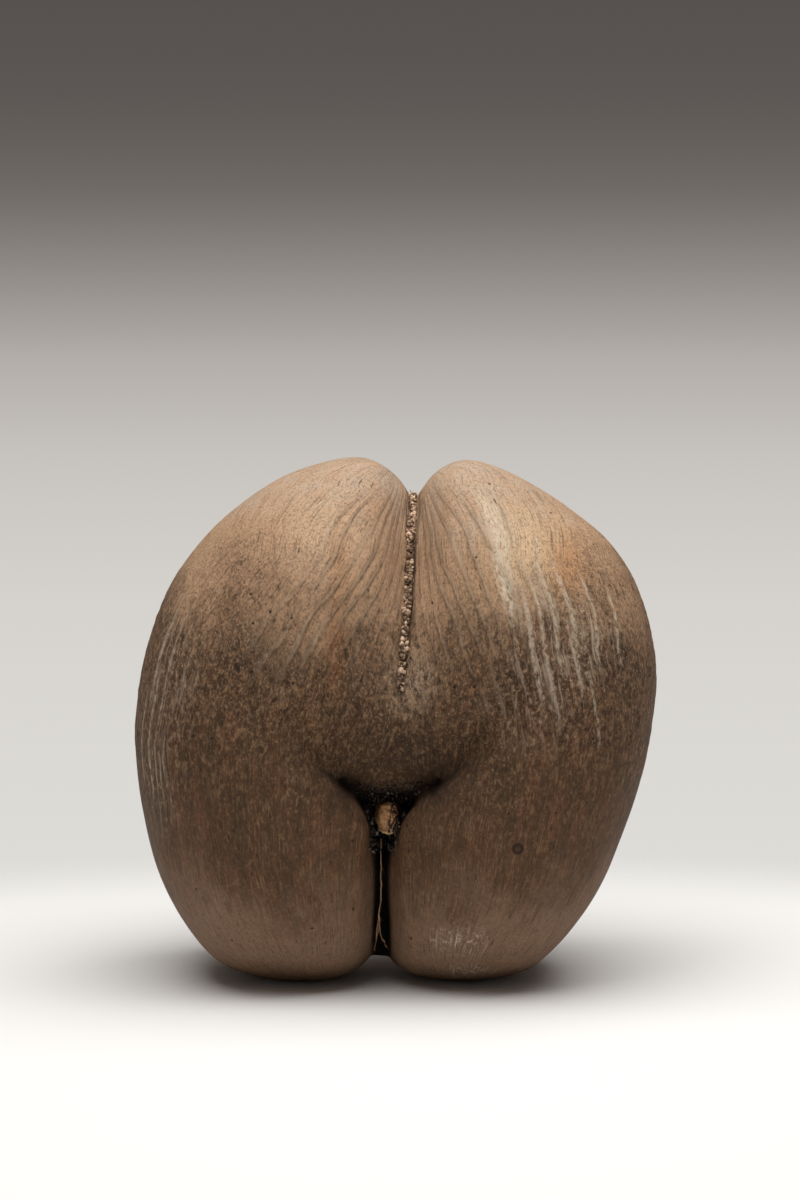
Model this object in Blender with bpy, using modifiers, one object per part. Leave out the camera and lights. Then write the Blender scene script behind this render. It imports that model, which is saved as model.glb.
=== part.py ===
"""A coco de mer nut standing on the ends of its two lobes.

The nut is one solid: two swollen lobes grown together, a seam that runs from the top notch down
both faces, a rounded mound over the germ pore, and a narrow slit between the legs below it.
Four small pieces lie on it: the corky plug of the germ pore, the dark fibres round the plug,
the pale fibres that hang in the slit, and the crumbs of husk left in the seam.

Metres, +Z up. The seam's face looks along -Y, and the origin is on the resting surface,
under the middle of the nut. Sizes below are in millimetres and become metres through MM.
"""

import math
import random

import bmesh
import bpy
import numpy as np
from mathutils import Vector, noise
from mathutils.bvhtree import BVHTree

MM = 0.001
TOUCHING_GAP = 0.3

# Outline of each lobe seen from the front, as x and z, from the crown outwards and round. The
# inner side, from the notch to the foot, lies beyond the midline, where the two have grown together.
LOBES = {
    "left": {
        "side": -1,
        "centre": (-74, 0, 145),
        "spine": ((0, -50), (75, -68), (145, -74), (215, -56), (270, -26), (293, -2)),
        "outline": (
            (-19, 300), (-42, 297), (-70, 286), (-101, 263), (-124, 235), (-139, 202), (-147, 165),
            (-148, 130), (-141, 82), (-127, 45), (-104, 14), (-80, 3), (-52, 0), (-33, 2), (-20, 8),
            (-10, 20), (6, 50), (24, 78), (42, 120), (44, 165), (34, 215), (19, 252), (10, 276), (-2, 292),
        ),
    },
    "right": {
        "side": 1,
        "centre": (72, 0, 148),
        "spine": ((0, 38), (75, 64), (148, 74), (215, 62), (270, 38), (293, 21)),
        "outline": (
            (38, 299), (54, 296), (78, 285), (102, 269), (122, 251), (138, 225), (147, 190), (147, 160),
            (141, 122), (124, 71), (105, 37), (81, 11), (62, 3), (38, 0), (17, 2), (1, 8),
            (-8, 20), (-20, 50), (-31, 78), (-40, 120), (-38, 165), (-18, 220), (2, 258), (11, 277),
            (22, 292),
        ),
    },
}
OUTLINE_STEPS = 480
FRONT_DEPTH = 84
BACK_DEPTH = 88
FULLNESS = 2.3
LOBE_SUBDIVISIONS = 6

# The plane between the lobes leans and bends a little: its x at each height z.
MIDLINE_Z = (0, 85, 122, 175, 225, 275, 300)
MIDLINE_X = (-8, -8, -3.5, 2.6, 7, 9.8, 10.5)

# Below the mound the lobes part at a wall this far from the midline: a slit that opens into
# the germ pore's funnel. Above the join they have grown together, as they have behind the slit.
SLIT_Z = (0, 40, 58, 74, 84, 91, 98, 105, 111, 117, 121, 125, 130)
SLIT_HALF_WIDTH = (2.6, 2.4, 1.4, 1.4, 2.8, 5, 7.5, 11, 15, 20.5, 25, 30, 36)
JOIN_Z = (126, 137)
SLIT_FLOOR_Z = (0, 60, 90, 130)
SLIT_FLOOR_Y = (-10, -14, -32, -34)
CLEFT_FLOOR_Z = (0, 80, 150, 260, 300)
CLEFT_FLOOR_Y = (14, 34, 54, 44, 24)
CLEFT_HALF_WIDTH = 2.2
FLOOR_SOFTNESS = 5
FRONT_ROUNDING = 4.5
BACK_ROUNDING = 11
BURIED = -14

# Where the lobes have grown together: the mound's rounded lip over the pore, and the web at the
# bottom of the slit.
BRIDGES = {
    "lip": {"centre": (-3, -24, 147), "radii": (38, 54, 34), "fullness": 2.8},
    "web": {"centre": (-8.5, 8, 60), "radii": (15, 18, 49), "fullness": 3},
}

# The mound is a belly that sinks back towards its lower edge, so the thighs stand out in front of
# it. At each height: how far it reaches from the midline, and how deep it lies behind the thighs.
BELLY_Z = (112, 119, 124, 130, 137, 144, 156, 172)
BELLY_HALF_WIDTH = (11, 24, 31, 38, 44, 49, 56, 66)
BELLY_DEPTH = (18, 17, 15.5, 13, 10, 7.5, 3.5, 0)
BELLY_EDGE = (-8, 3)
BELLY_BACK_Y = -30

# Strokes that press into the skin, or raise it where the depth is negative. Each follows a path
# of x and z over one face, with its depth and half-width at each point of the path.
STROKES = (
    {
        "what": "left groin, from the germ pore up and outwards",
        "face": -1,
        "path": ((-33, 125), (-44, 134), (-53, 147), (-62, 167), (-74, 188)),
        "depth": (5, 6, 6, 5, 0),
        "width": (6, 8, 12, 20, 30),
    },
    {
        "what": "right groin",
        "face": -1,
        "path": ((27, 125), (38, 134), (48, 146), (60, 164), (74, 184)),
        "depth": (5, 6, 6, 5, 0),
        "width": (6, 8, 12, 20, 30),
    },
    {"what": "mound", "face": -1, "path": ((-2, 138), (1, 160)), "depth": (-2, -3), "width": (28, 36)},
    {"what": "left thigh", "face": -1, "path": ((-58, 94), (-66, 66)), "depth": (-5, -4), "width": (38, 40)},
    {"what": "right thigh", "face": -1, "path": ((48, 94), (56, 66)), "depth": (-5, -4), "width": (38, 40)},
    {
        "what": "left shoulder",
        "face": -1,
        "path": ((-60, 230), (-82, 205)),
        "depth": (-4, -4),
        "width": (42, 42),
    },
    {
        "what": "right shoulder",
        "face": -1,
        "path": ((64, 232), (86, 208)),
        "depth": (-4, -4),
        "width": (42, 42),
    },
    {
        "what": "valley towards the notch",
        "face": -1,
        "path": ((10, 284), (8, 235), (4, 195)),
        "depth": (6, 5, 0),
        "width": (13, 14, 14),
    },
    {
        "what": "seam down the front",
        "face": -1,
        "path": ((10, 284), (9, 250), (7, 220), (4.5, 195), (2.6, 172)),
        "depth": (5, 6, 6, 4, 0),
        "width": (3.8, 3.8, 3.6, 3.2, 3),
    },
)

VOXEL = 2.2
MELT_STEPS = 11
FLAT_FOOT = 1.3
FLAT_FOOT_AGAIN = 0.15
NUT_TRIANGLES = 9200

# Ridges fan out from the crown of each lobe and fade on the way down.
RIDGES_ROUND = 34
RIDGE_HEIGHT = 0.7
RIDGE_FADE_Z = (140, 235)
RIDGE_WANDER = 0.9
WANDER_SIZE = 40
SWELL_HEIGHT = 0.8
SWELL_SIZE = 55

PLUG = {"centre": (-4.2, -46, 101.5), "radii": (6.6, 16, 9.6), "fullness": 2.7, "bumps": 1.7, "bump_size": 6}

# The fibres spring from a ring that lies round the plug.
TUFT = {
    "centre": (-4.2, -46, 100.5),
    "ring_radii": (8.6, 11.6),
    "ring_thickness": 3.8,
    "strands": 64,
    "reach": (5, 12),
    "thickness": (1.7, 1.2, 0.7),
    "seed": 7,
}

# Points along the pale fibres, which hang from the tuft: x, y and z.
FIBRES = (
    ((-7.8, -46, 88), (-8, -50, 80), (-8.1, -53, 70), (-7.8, -54, 61), (-8.1, -54, 54), (-9.1, -53, 47),
     (-10.1, -53, 40.5), (-10.9, -52, 32.5)),
    ((-9.1, -53, 47), (-8.9, -53, 39), (-8.4, -53, 35.6), (-7.4, -53, 33.4), (-6.4, -53, 32)),
)
FIBRE_THICKNESS = 0.7

# The husk's string runs through the seam between these two angles, turned up from straight back.
HUSK = {
    "angles": (184, -6),
    "steps": 64,
    "thickness": 2.6,
    "crumbs": 210,
    "crumb_sizes": (0.9, 2.4),
    "seed": 11,
}

# The seam's string is found by rays that aim at this height on the midline, from well outside.
SEAM_CENTRE_Z = 180
WELL_OUTSIDE = 200

RING_STEPS = 24
FINE_VOXEL = 0.55
TUFT_TRIANGLES = 1600
FIBRE_TRIANGLES = 500
HUSK_TRIANGLES = 1900


def smoothstep(low, high, value):
    share = np.clip((value - low) / (high - low), 0, 1)
    return share * share * (3 - 2 * share)


def closed_curve(corners, steps):
    """Points on a smooth closed curve (Catmull-Rom) through the corners."""
    corners = np.asarray(corners, float)
    count = len(corners)
    place = np.arange(steps) * count / steps
    first = np.floor(place).astype(int)
    t = (place - first)[:, None]
    a, b, c, d = (corners[(first + step) % count] for step in (-1, 0, 1, 2))
    return 0.5 * (2 * b + (c - a) * t + (2 * a - 5 * b + 4 * c - d) * t**2 + (3 * b - a - 3 * c + d) * t**3)


def outline_radius(lobe, angle):
    """How far the lobe's outline is from its centre at an angle turned outwards from the top."""
    away = closed_curve(lobe["outline"], OUTLINE_STEPS) - np.array(lobe["centre"])[[0, 2]]
    turned = np.arctan2(lobe["side"] * away[:, 0], away[:, 1])
    order = np.argsort(turned)
    return np.interp(angle, turned[order], np.hypot(*away.T)[order], period=math.tau)


def midline(z):
    return np.interp(z, MIDLINE_Z, MIDLINE_X)


def wall(y, z):
    """How far from the midline a lobe's inner side stands, and how softly its edge turns."""
    slit = np.interp(z, SLIT_Z, SLIT_HALF_WIDTH)
    slit += (BURIED - slit) * smoothstep(*JOIN_Z, z)
    slit_floor = np.interp(z, SLIT_FLOOR_Z, SLIT_FLOOR_Y)
    cleft_floor = np.interp(z, CLEFT_FLOOR_Z, CLEFT_FLOOR_Y)
    in_front = 1 - smoothstep(slit_floor - FLOOR_SOFTNESS, slit_floor + FLOOR_SOFTNESS, y)
    behind = smoothstep(cleft_floor - FLOOR_SOFTNESS, cleft_floor + FLOOR_SOFTNESS, y)
    offset = BURIED + (slit - BURIED) * in_front + (CLEFT_HALF_WIDTH - BURIED) * behind
    rounding = FRONT_ROUNDING + (BACK_ROUNDING - FRONT_ROUNDING) * smoothstep(-10, 10, y)
    return offset, rounding


def unit_sphere(name, subdivisions):
    """A round mesh of radius 1, whose vertices each shape then moves."""
    mesh = bpy.data.meshes.new(name)
    cage = bmesh.new()
    bmesh.ops.create_icosphere(cage, subdivisions=subdivisions, radius=1)
    cage.to_mesh(mesh)
    cage.free()
    return mesh


def points_of(mesh):
    points = np.empty(len(mesh.vertices) * 3)
    mesh.vertices.foreach_get("co", points)
    return points.reshape(-1, 3)


def set_points(mesh, points):
    mesh.vertices.foreach_set("co", np.ascontiguousarray(points, np.float32).ravel())
    mesh.update()


def normals_of(mesh):
    normals = np.empty(len(mesh.vertices) * 3)
    mesh.vertices.foreach_get("normal", normals)
    return normals.reshape(-1, 3)


def noise_at(points, size):
    """Smooth noise, about -1 to 1, whose lumps are about this size."""
    return np.array([noise.noise(Vector(point) / size) for point in points])


def nearest_on(path, spots):
    """For each (x, z) spot, its distance to the path and how far along the path that is, 0 to 1."""
    path = np.asarray(path, float)
    lengths = np.hypot(*np.diff(path, axis=0).T)
    starts = np.concatenate([[0], np.cumsum(lengths)])
    best = np.full(len(spots), np.inf)
    along = np.zeros(len(spots))
    for first, second, length, start in zip(path[:-1], path[1:], lengths, starts[:-1]):
        share = np.clip((spots - first) @ (second - first) / length**2, 0, 1)
        distance = np.hypot(*(spots - first - share[:, None] * (second - first)).T)
        nearer = distance < best
        best = np.where(nearer, distance, best)
        along = np.where(nearer, (start + share * length) / starts[-1], along)
    return best, along


def press(mesh, stroke):
    """Moves the skin along its own normals under one stroke, on the face that the stroke is on."""
    points, normals = points_of(mesh), normals_of(mesh)
    distance, along = nearest_on(stroke["path"], points[:, [0, 2]])
    stations = np.linspace(0, 1, len(stroke["path"]))
    depth = np.interp(along, stations, stroke["depth"])
    width = np.interp(along, stations, stroke["width"])
    faces_it = smoothstep(0, 0.5, stroke["face"] * normals[:, 1])
    push = depth * np.exp(-((distance / width) ** 2)) * faces_it
    set_points(mesh, points - normals * push[:, None])


def sink_belly(mesh):
    """Presses the front of the mound back between the groins; what lies deeper moves less."""
    points = points_of(mesh)
    x, y, z = points.T
    beyond = np.abs(x - midline(z)) - np.interp(z, BELLY_Z, BELLY_HALF_WIDTH)
    outwards = np.clip((BELLY_BACK_Y - y) / (FRONT_DEPTH + BELLY_BACK_Y), 0, 1)
    share = (1 - smoothstep(*BELLY_EDGE, beyond)) * outwards
    points[:, 1] += np.interp(z, BELLY_Z, BELLY_DEPTH) * share
    set_points(mesh, points)


def roughen(mesh):
    """Raises the ridges that fan from the crowns, and the slow swells of a grown thing."""
    points, normals = points_of(mesh), normals_of(mesh)
    x, y, z = points.T
    turn = np.zeros(len(points))
    for lobe in LOBES.values():
        own = lobe["side"] * (x - midline(z)) > 0
        spine_z, spine_x = np.transpose(lobe["spine"])
        out = lobe["side"] * (x - np.interp(z, spine_z, spine_x))
        turn = np.where(own, np.arctan2(y, out), turn)
    wander = RIDGE_WANDER * noise_at(points, WANDER_SIZE)
    strength = smoothstep(*RIDGE_FADE_Z, z) * smoothstep(1, 8, np.abs(x - midline(z)))
    ridge = RIDGE_HEIGHT * strength * np.cos(RIDGES_ROUND * turn + 2 * math.pi * wander)
    swell = SWELL_HEIGHT * noise_at(points, SWELL_SIZE)
    set_points(mesh, points + normals * (ridge + swell)[:, None])


def lobe_mesh(name, lobe):
    """One lobe: its front outline swollen to the depth of the nut, its inner side trimmed."""
    mesh = unit_sphere(name, LOBE_SUBDIVISIONS)
    direction = points_of(mesh)
    side = lobe["side"]
    outline = outline_radius(lobe, np.arctan2(side * direction[:, 0], direction[:, 2]))
    depth = np.where(direction[:, 1] < 0, FRONT_DEPTH, BACK_DEPTH)
    flat = np.hypot(direction[:, 0], direction[:, 2]) / outline
    thick = np.abs(direction[:, 1]) / depth
    radius = (flat**FULLNESS + thick**FULLNESS) ** (-1 / FULLNESS)
    points = np.array(lobe["centre"]) + direction * radius[:, None]
    off_midline = side * (points[:, 0] - midline(points[:, 2]))
    offset, rounding = wall(points[:, 1], points[:, 2])
    off_midline = offset + rounding * np.logaddexp(0, (off_midline - offset) / rounding)
    points[:, 0] = midline(points[:, 2]) + side * off_midline
    set_points(mesh, points)
    return mesh


def pillow_mesh(name, shape, subdivisions):
    """An ellipsoid, squarer than a true one where its fullness is over 2."""
    mesh = unit_sphere(name, subdivisions)
    direction = points_of(mesh)
    scaled = np.abs(direction) / np.array(shape["radii"])
    radius = (scaled ** shape["fullness"]).sum(axis=1) ** (-1 / shape["fullness"])
    set_points(mesh, np.array(shape["centre"]) + direction * radius[:, None])
    return mesh


def joined(name, meshes):
    together = bmesh.new()
    for mesh in meshes:
        together.from_mesh(mesh)
        bpy.data.meshes.remove(mesh)
    whole = bpy.data.meshes.new(name)
    together.to_mesh(whole)
    together.free()
    return whole


def placed(name, mesh):
    piece = bpy.data.objects.new(name, mesh)
    bpy.context.scene.collection.objects.link(piece)
    return piece


def baked(draft):
    """The draft's mesh with its modifiers applied; the draft is removed."""
    graph = bpy.context.evaluated_depsgraph_get()
    mesh = bpy.data.meshes.new_from_object(draft.evaluated_get(graph))
    source = draft.data
    bpy.data.objects.remove(draft)
    bpy.data.meshes.remove(source)
    return mesh


def melted(mesh, voxel, melt_steps):
    """The mesh as one even skin: a voxel remesh unites what overlaps and smoothing melts the joins."""
    draft = placed(mesh.name, mesh)
    remesh = draft.modifiers.new("unite", "REMESH")
    remesh.mode = "VOXEL"
    remesh.voxel_size = voxel
    melt = draft.modifiers.new("melt", "SMOOTH")
    melt.iterations = melt_steps
    return baked(draft)


def thinned(mesh, triangles):
    draft = placed(mesh.name, mesh)
    thin = draft.modifiers.new("fewer faces", "DECIMATE")
    thin.ratio = triangles / sum(len(face.vertices) - 2 for face in mesh.polygons)
    return baked(draft)


def trimmed(mesh, neighbours):
    """The mesh cut back to leave a hair's gap to each neighbour, with any loose scrap dropped."""
    for neighbour in neighbours:
        cutter = placed("cutter", neighbour.data.copy())
        swollen = points_of(cutter.data) + normals_of(cutter.data) * TOUCHING_GAP
        set_points(cutter.data, swollen)
        draft = placed(mesh.name, mesh)
        cut = draft.modifiers.new("clear of neighbour", "BOOLEAN")
        cut.operation = "DIFFERENCE"
        cut.solver = "EXACT"
        cut.object = cutter
        mesh = baked(draft)
        cutter_mesh = cutter.data
        bpy.data.objects.remove(cutter)
        bpy.data.meshes.remove(cutter_mesh)
    keep_largest(mesh)
    return mesh


def keep_largest(mesh):
    cage = bmesh.new()
    cage.from_mesh(mesh)
    bodies = []
    unseen = set(cage.verts)
    while unseen:
        front = [unseen.pop()]
        body = set(front)
        while front:
            ring = {edge.other_vert(vertex) for vertex in front for edge in vertex.link_edges} - body
            body |= ring
            front = list(ring)
        unseen -= body
        bodies.append(body)
    largest = max(bodies, key=len)
    bmesh.ops.delete(cage, geom=[vertex for vertex in cage.verts if vertex not in largest], context="VERTS")
    cage.to_mesh(mesh)
    cage.free()


def to_mesh_data(curve, name):
    """A curve object's tube as a closed mesh; the curve is removed."""
    placed_curve = placed(name, curve)
    graph = bpy.context.evaluated_depsgraph_get()
    mesh = bpy.data.meshes.new_from_object(placed_curve.evaluated_get(graph))
    bpy.data.objects.remove(placed_curve)
    bpy.data.curves.remove(curve)
    cage = bmesh.new()
    cage.from_mesh(mesh)
    bmesh.ops.remove_doubles(cage, verts=cage.verts, dist=1e-4)
    cage.to_mesh(mesh)
    cage.free()
    return mesh


def tube_mesh(name, points, thicknesses):
    """A round string through the points, as thick at each as its own number says."""
    curve = bpy.data.curves.new(name, "CURVE")
    curve.dimensions = "3D"
    curve.bevel_depth = 0.5
    curve.bevel_resolution = 1
    curve.use_fill_caps = True
    spline = curve.splines.new("POLY")
    spline.points.add(len(points) - 1)
    for point, place, thickness in zip(spline.points, points, thicknesses):
        point.co = (*place, 1)
        point.radius = thickness
    return to_mesh_data(curve, name)


def smooth_path(corners, steps):
    """Points on a smooth open curve through the corners."""
    corners = np.asarray(corners, float)
    closed = np.concatenate([corners, corners[-2:0:-1]])
    dense = closed_curve(closed, steps * len(closed))
    return dense[: steps * (len(corners) - 1) + 1]


def finished(name, mesh, colour, roughness):
    """The piece in metres, with a material of its own."""
    set_points(mesh, points_of(mesh) * MM)
    piece = placed(name, mesh)
    material = bpy.data.materials.new(name)
    material.use_nodes = True
    shader = material.node_tree.nodes["Principled BSDF"]
    shader.inputs["Base Color"].default_value = (*colour, 1)
    shader.inputs["Roughness"].default_value = roughness
    mesh.materials.clear()
    mesh.materials.append(material)
    mesh.shade_smooth()
    return piece


def stand(mesh, flat):
    """Flattens both feet to one level, this far above the higher foot's tip, and centres the nut on it."""
    points = points_of(mesh)
    x, z = points[:, 0], points[:, 2]
    floor = flat + max(z[lobe["side"] * (x - midline(z)) > 0].min() for lobe in LOBES.values())
    points[:, 2] = np.maximum(z, floor)
    low, high = points.min(axis=0), points.max(axis=0)
    set_points(mesh, points - [(low[0] + high[0]) / 2, (low[1] + high[1]) / 2, floor])


def nut_mesh():
    bodies = [lobe_mesh(name, lobe) for name, lobe in LOBES.items()]
    bodies += [pillow_mesh(name, bridge, LOBE_SUBDIVISIONS - 1) for name, bridge in BRIDGES.items()]
    skin = melted(joined("nut", bodies), VOXEL, MELT_STEPS)
    sink_belly(skin)
    for stroke in STROKES:
        press(skin, stroke)
    skin = melted(skin, VOXEL, MELT_STEPS // 3)
    roughen(skin)
    stand(skin, FLAT_FOOT)
    skin = thinned(skin, NUT_TRIANGLES)
    stand(skin, FLAT_FOOT_AGAIN)
    return skin


def plug_mesh():
    mesh = pillow_mesh("germ_plug", PLUG, 3)
    points, normals = points_of(mesh), normals_of(mesh)
    bumps = PLUG["bumps"] * noise_at(points, PLUG["bump_size"])
    set_points(mesh, points + normals * bumps[:, None])
    return mesh


def tuft_mesh():
    """Fibres that stand out round the plug from a ring at its root."""
    draw = random.Random(TUFT["seed"])
    centre = Vector(TUFT["centre"])
    wide, tall = TUFT["ring_radii"]
    ring = []
    for step in range(RING_STEPS + 1):
        angle = math.tau * step / RING_STEPS
        ring.append(centre + Vector((wide * math.sin(angle), 0, tall * math.cos(angle))))
    bodies = [tube_mesh("ring", ring, [TUFT["ring_thickness"]] * len(ring))]
    for strand in range(TUFT["strands"]):
        angle = math.tau * (strand + draw.uniform(-0.4, 0.4)) / TUFT["strands"]
        start = centre + Vector((wide * math.sin(angle), draw.uniform(-1, 1), tall * math.cos(angle)))
        outwards = Vector((math.sin(angle), 0, math.cos(angle))) * draw.uniform(-0.1, 0.8)
        lean = Vector((draw.uniform(-0.6, 0.6), -draw.uniform(0.5, 2), draw.uniform(-0.8, 0.5)))
        tip = start + (outwards + lean).normalized() * draw.uniform(*TUFT["reach"])
        bend = (start + tip) / 2 + Vector((draw.uniform(-1.5, 1.5), 0, draw.uniform(-1.5, 1.5)))
        bodies.append(tube_mesh("strand", (start, bend, tip), TUFT["thickness"]))
    return thinned(melted(joined("pore_fibres", bodies), FINE_VOXEL, 1), TUFT_TRIANGLES)


def fibre_mesh():
    bodies = []
    for corners in FIBRES:
        path = smooth_path(corners, 4)
        bodies.append(tube_mesh("fibre", path, [FIBRE_THICKNESS] * len(path)))
    return thinned(melted(joined("slit_fibres", bodies), FIBRE_THICKNESS / 5, 1), FIBRE_TRIANGLES)


def seam_path(nut):
    """Points along the bottom of the seam, each with the direction that leads out of it."""
    tree = BVHTree.FromPolygons(
        [vertex.co for vertex in nut.data.vertices],
        [face.vertices for face in nut.data.polygons],
    )
    path = []
    for angle in np.radians(np.linspace(*HUSK["angles"], HUSK["steps"])):
        outwards = Vector((0, math.cos(angle), math.sin(angle)))
        height = SEAM_CENTRE_Z
        for _ in range(3):
            inside = Vector((midline(height), 0, SEAM_CENTRE_Z))
            spot = tree.ray_cast(inside + outwards * WELL_OUTSIDE, -outwards)[0]
            height = spot.z
        path.append((spot, outwards))
    return path


def husk_mesh(path):
    """Crumbs strewn along a thin string of husk that lies in the seam."""
    draw = random.Random(HUSK["seed"])
    string = [spot + outwards * HUSK["thickness"] * 0.3 for spot, outwards in path]
    bodies = [tube_mesh("string", string, [HUSK["thickness"]] * len(string))]
    for _ in range(HUSK["crumbs"]):
        spot, outwards = draw.choice(path)
        size = draw.uniform(*HUSK["crumb_sizes"])
        aside = Vector((draw.uniform(-1.9, 1.9), 0, draw.uniform(-2, 2)))
        crumb = {
            "centre": spot + outwards * draw.uniform(0.4, 1.8) + aside,
            "radii": [size * draw.uniform(0.7, 1.3) for _ in range(3)],
            "fullness": 2.6,
        }
        bodies.append(pillow_mesh("crumb", crumb, 2))
    return thinned(melted(joined("seam_husk", bodies), FINE_VOXEL, 0), HUSK_TRIANGLES)


def main():
    for leftover in list(bpy.data.objects):
        bpy.data.objects.remove(leftover, do_unlink=True)
    nut = placed("nut draft", nut_mesh())
    plug = placed("plug draft", trimmed(plug_mesh(), [nut]))
    tuft = placed("tuft draft", trimmed(tuft_mesh(), [nut, plug]))
    fibres = trimmed(fibre_mesh(), [nut, plug, tuft])
    husk = trimmed(husk_mesh(seam_path(nut)), [nut])
    finished("nut", baked(nut), (0.17, 0.105, 0.07), 0.6)
    finished("germ_plug", baked(plug), (0.33, 0.2, 0.11), 0.85)
    finished("pore_fibres", baked(tuft), (0.03, 0.022, 0.017), 0.75)
    finished("slit_fibres", fibres, (0.4, 0.25, 0.14), 0.6)
    finished("seam_husk", husk, (0.24, 0.17, 0.12), 0.9)


main()
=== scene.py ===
"""A coco de mer nut on a pale studio floor.

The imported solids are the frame. The shell is made again at a finer grain from the same outlines,
with the ridges of its crown, its pits and its fibres; the plug, the tuft of fibres round it, the
pale fibres in the slit and the husk in the seam each get a finer piece in the same place.

Forms are worked out in millimetres and become metres through MM. The sizes in finishes and in
Geometry Nodes are in metres.
"""

import math
from types import SimpleNamespace

import bmesh
import bpy
import numpy as np
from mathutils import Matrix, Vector
from mathutils.bvhtree import BVHTree


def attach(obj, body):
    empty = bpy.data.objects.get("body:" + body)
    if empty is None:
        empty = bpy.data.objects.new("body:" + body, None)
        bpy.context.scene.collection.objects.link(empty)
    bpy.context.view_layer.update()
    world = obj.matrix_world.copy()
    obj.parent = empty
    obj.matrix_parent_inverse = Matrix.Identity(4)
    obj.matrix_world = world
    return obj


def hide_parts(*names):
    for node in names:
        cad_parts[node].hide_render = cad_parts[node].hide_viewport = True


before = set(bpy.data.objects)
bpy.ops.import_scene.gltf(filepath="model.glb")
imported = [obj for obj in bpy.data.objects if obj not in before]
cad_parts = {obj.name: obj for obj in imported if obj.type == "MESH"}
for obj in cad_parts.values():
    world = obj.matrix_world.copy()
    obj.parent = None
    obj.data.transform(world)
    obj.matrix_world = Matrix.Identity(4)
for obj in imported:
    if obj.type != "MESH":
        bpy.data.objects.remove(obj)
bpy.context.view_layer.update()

MM = 0.001
HALF_TURN = 3.14

# Camera: a portrait frame, a little above the nut, with the nut low in the picture.
LENS = 85
LONG_SIDE = 36
CAMERA_DISTANCE = 1.6137
CAMERA_RISE = math.radians(6)
AIM = Vector((0.0026, 0, 0.2178))

# Outline of each lobe seen from the front, as x and z, and the line that its grain runs round,
# as z and x.
LOBES = {
    "left": {
        "side": -1,
        "centre": (-74, 0, 145),
        "spine": ((0, -50), (75, -68), (145, -74), (215, -56), (270, -26), (293, -2)),
        "outline": (
            (-19, 300), (-42, 297), (-70, 286), (-101, 263), (-124, 235), (-139, 202), (-147, 165),
            (-148, 130), (-141, 82), (-127, 45), (-104, 14), (-80, 3), (-52, 0), (-33, 2), (-20, 8),
            (-10, 20), (6, 50), (24, 78), (42, 120), (44, 165), (34, 215), (19, 252), (10, 276), (-2, 292),
        ),
    },
    "right": {
        "side": 1,
        "centre": (72, 0, 148),
        "spine": ((0, 38), (75, 64), (148, 74), (215, 62), (270, 38), (293, 21)),
        "outline": (
            (38, 299), (54, 296), (78, 285), (102, 269), (122, 251), (138, 225), (147, 190), (147, 160),
            (141, 122), (124, 71), (105, 37), (81, 11), (62, 3), (38, 0), (17, 2), (1, 8),
            (-8, 20), (-20, 50), (-31, 78), (-40, 120), (-38, 165), (-18, 220), (2, 258),
            (11, 277), (22, 292),
        ),
    },
}
OUTLINE_STEPS = 480
FRONT_DEPTH = 84
BACK_DEPTH = 88
FULLNESS = 2.3
LOBE_SUBDIVISIONS = 7

MIDLINE_Z = (0, 85, 122, 175, 225, 275, 300)
MIDLINE_X = (-8, -8, -3.5, 2.6, 7, 9.8, 10.5)

SLIT_Z = (0, 40, 58, 74, 84, 91, 98, 105, 111, 117, 121, 125, 130)
SLIT_HALF_WIDTH = (2.6, 2.4, 1.4, 1.4, 2.8, 5, 7.5, 11, 15, 20.5, 25, 30, 36)
JOIN_Z = (126, 137)
SLIT_FLOOR_Z = (0, 60, 90, 130)
SLIT_FLOOR_Y = (-10, -14, -32, -34)
CLEFT_FLOOR_Z = (0, 80, 150, 260, 300)
CLEFT_FLOOR_Y = (14, 34, 54, 44, 24)
CLEFT_HALF_WIDTH = 2.2
FLOOR_SOFTNESS = 5
FRONT_ROUNDING = 4.5
BACK_ROUNDING = 11
ROUNDING_TURN = (-10, 10)
BURIED = -14

BRIDGES = {
    "lip": {"centre": (-3, -24, 147), "radii": (38, 54, 34), "fullness": 2.8},
    "web": {"centre": (-8.5, 8, 60), "radii": (15, 18, 49), "fullness": 3},
}

# The belly over the germ pore sinks back between the groins, more towards its lower edge.
BELLY_Z = (112, 119, 124, 130, 137, 144, 156, 172)
BELLY_HALF_WIDTH = (11, 24, 31, 38, 44, 49, 56, 66)
BELLY_DEPTH = (18, 17, 15.5, 13, 10, 7.5, 3.5, 0)
BELLY_EDGE = (-8, 3)
BELLY_BACK_Y = -30

# Strokes that press the skin in, or with a depth below 0 raise it: the path from the front as x and z,
# and the depth and the width at even steps along it.
STROKES = (
    # The left groin, from the germ pore up and outwards, and the right one.
    (((-33, 125), (-44, 134), (-53, 147), (-62, 167), (-74, 188)), (0, 4, 6, 5, 0), (4, 6, 12, 20, 30)),
    (((27, 125), (38, 134), (48, 146), (60, 164), (74, 184)), (0, 4, 6, 5, 0), (4, 6, 12, 20, 30)),
    # The mound, the thighs and the shoulders.
    (((-2, 138), (1, 160)), (-2, -3), (28, 36)),
    (((-58, 94), (-66, 66)), (-5, -4), (38, 40)),
    (((48, 94), (56, 66)), (-5, -4), (38, 40)),
    (((-60, 230), (-82, 205)), (-4, -4), (42, 42)),
    (((64, 232), (86, 208)), (-4, -4), (42, 42)),
    # The valley towards the notch, and the seam down the front.
    (((10, 284), (8, 235), (4, 195)), (6, 5, 0), (13, 14, 14)),
    (
        ((10, 284), (9, 250), (7, 220), (4.5, 195), (2.6, 172)),
        (4.5, 5, 5, 3.5, 0),
        (2.3, 2.3, 2.3, 2.2, 2),
    ),
)
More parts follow.
